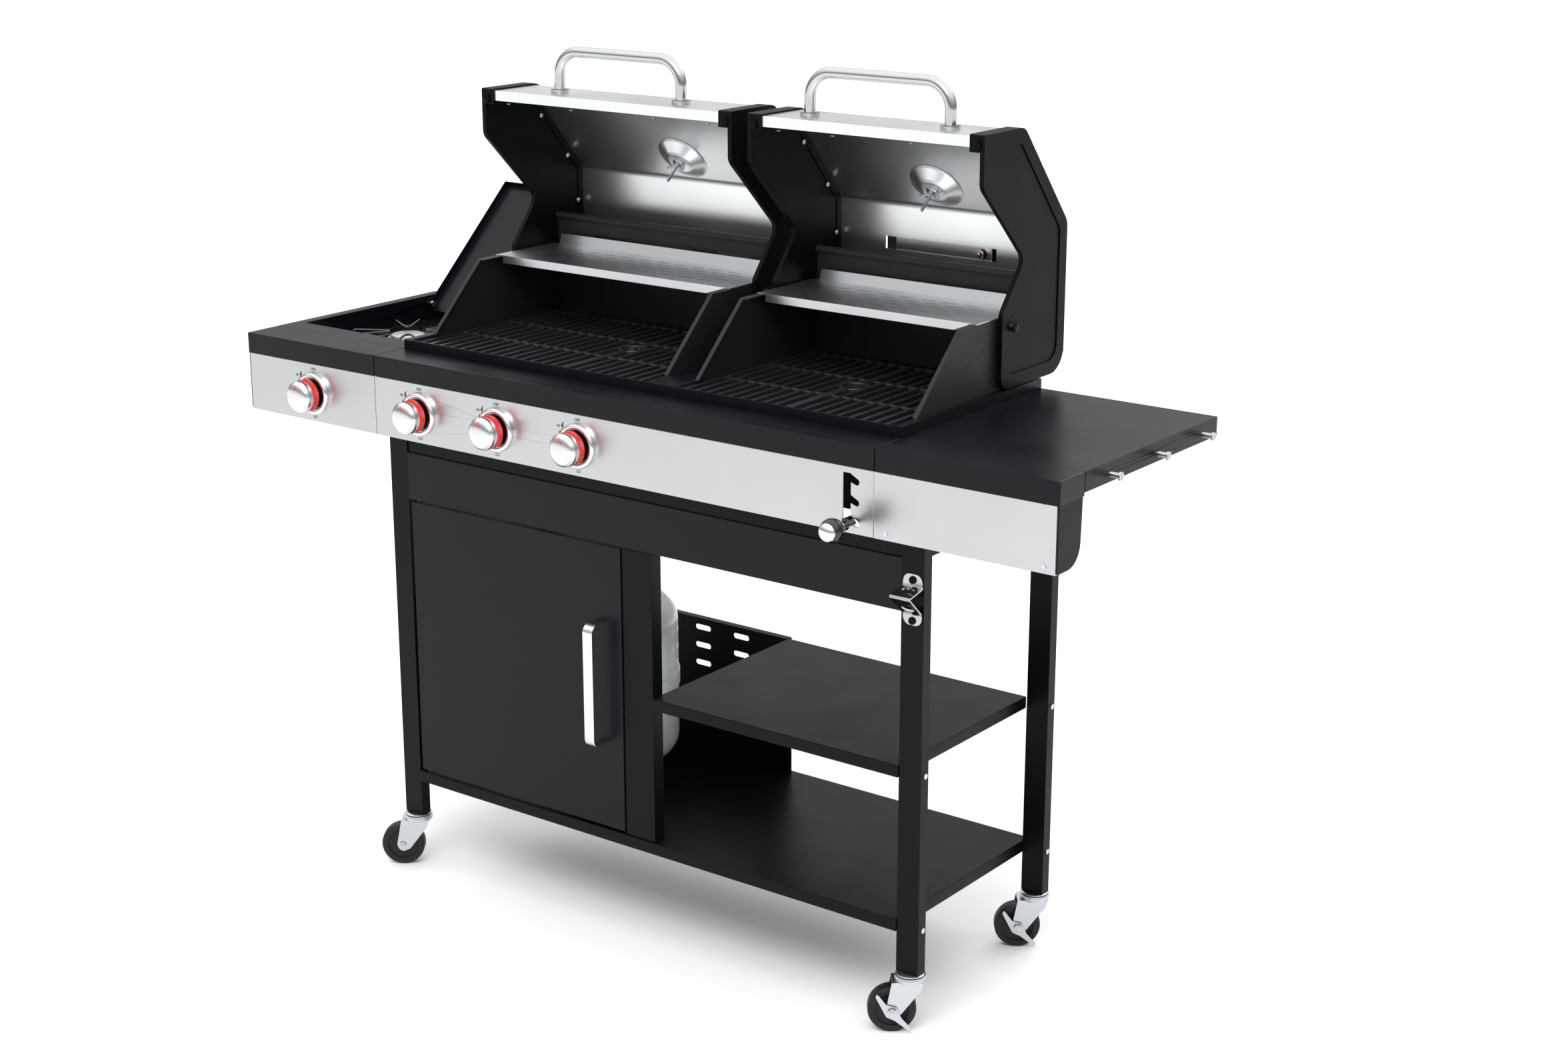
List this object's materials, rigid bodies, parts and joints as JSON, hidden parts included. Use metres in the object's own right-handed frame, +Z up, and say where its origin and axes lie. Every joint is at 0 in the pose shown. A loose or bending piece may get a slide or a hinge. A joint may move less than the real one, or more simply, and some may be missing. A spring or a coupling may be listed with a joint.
{
  "type": "gas and charcoal barbecue cart",
  "caption": "Wheeled barbecue cart with separate gas and charcoal fireboxes under hinged hoods, a lidded side burner, a side table and a cabinet",
  "frame": {"origin": "on the floor, under the middle of the box round the cart with its hoods and burner lid open", "axes": "+X to the right as seen from the front, +Y to the back, +Z up"},
  "size_m": [1.675, 0.7356, 1.4255],
  "materials": {
    "black_steel": "satin",
    "dark_tops": "satin",
    "stainless": "brushed",
    "chrome": "polished",
    "zinc": "zinc plated",
    "cast_grate": "matt",
    "hood_casting": "black paint",
    "burner": "cast",
    "cylinder_paint": "gloss",
    "wheel_black": "matt",
    "knob": "gloss, chromed face",
    "lever_black": "gloss"
  },
  "bodies": {
    "cart": {"legs": "dark_tops", "cart_rails": "black_steel", "apron_panel": "black_steel", "pillar_panel": "black_steel", "bottom_shelf": "black_steel", "mid_shelf": "black_steel", "rear_panel": "black_steel", "side_burner_top": "dark_tops", "front_trim": "dark_tops", "side_table_top": "dark_tops", "fascias": "stainless", "side_brackets": "dark_tops", "tool_pegs": "chrome", "base_frame": "black_steel", "firebox_gas": "black_steel", "firebox_charcoal": "black_steel", "grate_gas": "cast_grate", "grate_charcoal": "cast_grate", "rack_gas": "stainless", "rack_charcoal": "stainless", "burner_tubes": "stainless", "heat_tents": "stainless", "side_burner_head": "burner", "pot_support": "chrome", "gas_manifold": "burner", "gas_cylinder": "cylinder_paint", "bottle_opener": "chrome", "knob_bezels": "chrome", "frame_screws": "zinc", "hinge_pins": "zinc", "caster_stems": "zinc"},
    "gas_hood": {"hood_gas_ends": "hood_casting", "hood_gas_skin": "stainless", "hood_gas_handle": "chrome", "hood_gas_thermometer": "zinc"},
    "charcoal_hood": {"hood_charcoal_ends": "hood_casting", "hood_charcoal_skin": "stainless", "hood_charcoal_handle": "chrome", "hood_charcoal_thermometer": "zinc"},
    "vent_plate": {"vent_slider": "zinc"},
    "burner_lid": {"side_lid": "dark_tops"},
    "cabinet_door": {"door": "black_steel", "door_handle": "chrome"},
    "knob_side": {"knob_side": "knob"},
    "knob_left": {"knob_left": "knob"},
    "knob_middle": {"knob_middle": "knob"},
    "knob_right": {"knob_right": "knob"},
    "charcoal_lift": {"charcoal_lever": "lever_black", "charcoal_tray": "black_steel"},
    "grease_drawer": {"grease_tray": "stainless"},
    "caster_front_left": {"fork_front_left": "zinc"},
    "roller_front_left": {"wheel_front_left": "wheel_black"},
    "caster_front_right": {"fork_front_right": "zinc"},
    "roller_front_right": {"wheel_front_right": "wheel_black"},
    "caster_rear_left": {"fork_rear_left": "zinc"},
    "roller_rear_left": {"wheel_rear_left": "wheel_black"},
    "caster_rear_right": {"fork_rear_right": "zinc"},
    "roller_rear_right": {"wheel_rear_right": "wheel_black"},
    "brake_lever_front_right": {"brake_front_right": "zinc"},
    "brake_lever_rear_right": {"brake_rear_right": "zinc"}
  },
  "joints": [
    {"name": "gas_hood_hinge", "type": "hinge", "parent": "cart", "child": "gas_hood", "pos_m": [-0.25, 0.08623, 1.042], "axis": [1, 0, 0], "range_deg": [0, 90]},
    {"name": "charcoal_hood_hinge", "type": "hinge", "parent": "cart", "child": "charcoal_hood", "pos_m": [0.2775, 0.08623, 1.042], "axis": [1, 0, 0], "range_deg": [0, 90]},
    {"name": "vent_slide", "type": "slide", "parent": "charcoal_hood", "child": "vent_plate", "axis": [1, 0, 0], "range_m": [-0.085, 0.02]},
    {"name": "burner_lid_hinge", "type": "hinge", "parent": "cart", "child": "burner_lid", "pos_m": [-0.6815, 0.14023, 0.912], "axis": [1, 0, 0], "range_deg": [0, 137]},
    {"name": "door_hinge", "type": "hinge", "parent": "cart", "child": "cabinet_door", "pos_m": [-0.4525, -0.26677, 0.43], "axis": [0, 0, -1], "range_deg": [0, 110]},
    {"name": "knob_side_turn", "type": "hinge", "parent": "cart", "child": "knob_side", "pos_m": [-0.6737, -0.28877, 0.8395], "axis": [0, -1, 0], "range_deg": [0, 190]},
    {"name": "knob_left_turn", "type": "hinge", "parent": "cart", "child": "knob_left", "pos_m": [-0.4205, -0.28877, 0.8395], "axis": [0, -1, 0], "range_deg": [0, 190]},
    {"name": "knob_middle_turn", "type": "hinge", "parent": "cart", "child": "knob_middle", "pos_m": [-0.2455, -0.28877, 0.8395], "axis": [0, -1, 0], "range_deg": [0, 190]},
    {"name": "knob_right_turn", "type": "hinge", "parent": "cart", "child": "knob_right", "pos_m": [-0.0705, -0.28877, 0.8395], "axis": [0, -1, 0], "range_deg": [0, 190]},
    {"name": "charcoal_lift_slide", "type": "slide", "parent": "cart", "child": "charcoal_lift", "axis": [0, 0, 1], "range_m": [0, 0.064]},
    {"name": "grease_drawer_slide", "type": "slide", "parent": "cart", "child": "grease_drawer", "axis": [0, 1, 0], "range_m": [0, 0.3]},
    {"name": "caster_front_left_swivel", "type": "hinge", "parent": "cart", "child": "caster_front_left", "pos_m": [-0.4905, -0.26377, 0.09], "axis": [0, 0, 1], "continuous": true},
    {"name": "roller_front_left_spin", "type": "hinge", "parent": "caster_front_left", "child": "roller_front_left", "pos_m": [-0.51301, -0.28042, 0.038], "axis": [-0.5948, 0.8039, 0], "continuous": true},
    {"name": "caster_front_right_swivel", "type": "hinge", "parent": "cart", "child": "caster_front_right", "pos_m": [0.5615, -0.26377, 0.09], "axis": [0, 0, 1], "continuous": true},
    {"name": "roller_front_right_spin", "type": "hinge", "parent": "caster_front_right", "child": "roller_front_right", "pos_m": [0.53899, -0.28042, 0.038], "axis": [-0.5948, 0.8039, 0], "continuous": true},
    {"name": "caster_rear_left_swivel", "type": "hinge", "parent": "cart", "child": "caster_rear_left", "pos_m": [-0.4905, 0.10523, 0.09], "axis": [0, 0, 1], "continuous": true},
    {"name": "roller_rear_left_spin", "type": "hinge", "parent": "caster_rear_left", "child": "roller_rear_left", "pos_m": [-0.51301, 0.08858, 0.038], "axis": [-0.5948, 0.8039, 0], "continuous": true},
    {"name": "caster_rear_right_swivel", "type": "hinge", "parent": "cart", "child": "caster_rear_right", "pos_m": [0.5615, 0.10523, 0.09], "axis": [0, 0, 1], "continuous": true},
    {"name": "roller_rear_right_spin", "type": "hinge", "parent": "caster_rear_right", "child": "roller_rear_right", "pos_m": [0.53899, 0.08858, 0.038], "axis": [-0.5948, 0.8039, 0], "continuous": true},
    {"name": "brake_front_right_rock", "type": "hinge", "parent": "caster_front_right", "child": "brake_lever_front_right", "pos_m": [0.53899, -0.28042, 0.038], "axis": [0.5948, -0.8039, 0], "range_deg": [0, 15]},
    {"name": "brake_rear_right_rock", "type": "hinge", "parent": "caster_rear_right", "child": "brake_lever_rear_right", "pos_m": [0.53899, 0.08858, 0.038], "axis": [0.5948, -0.8039, 0], "range_deg": [0, 15]}
  ]
}
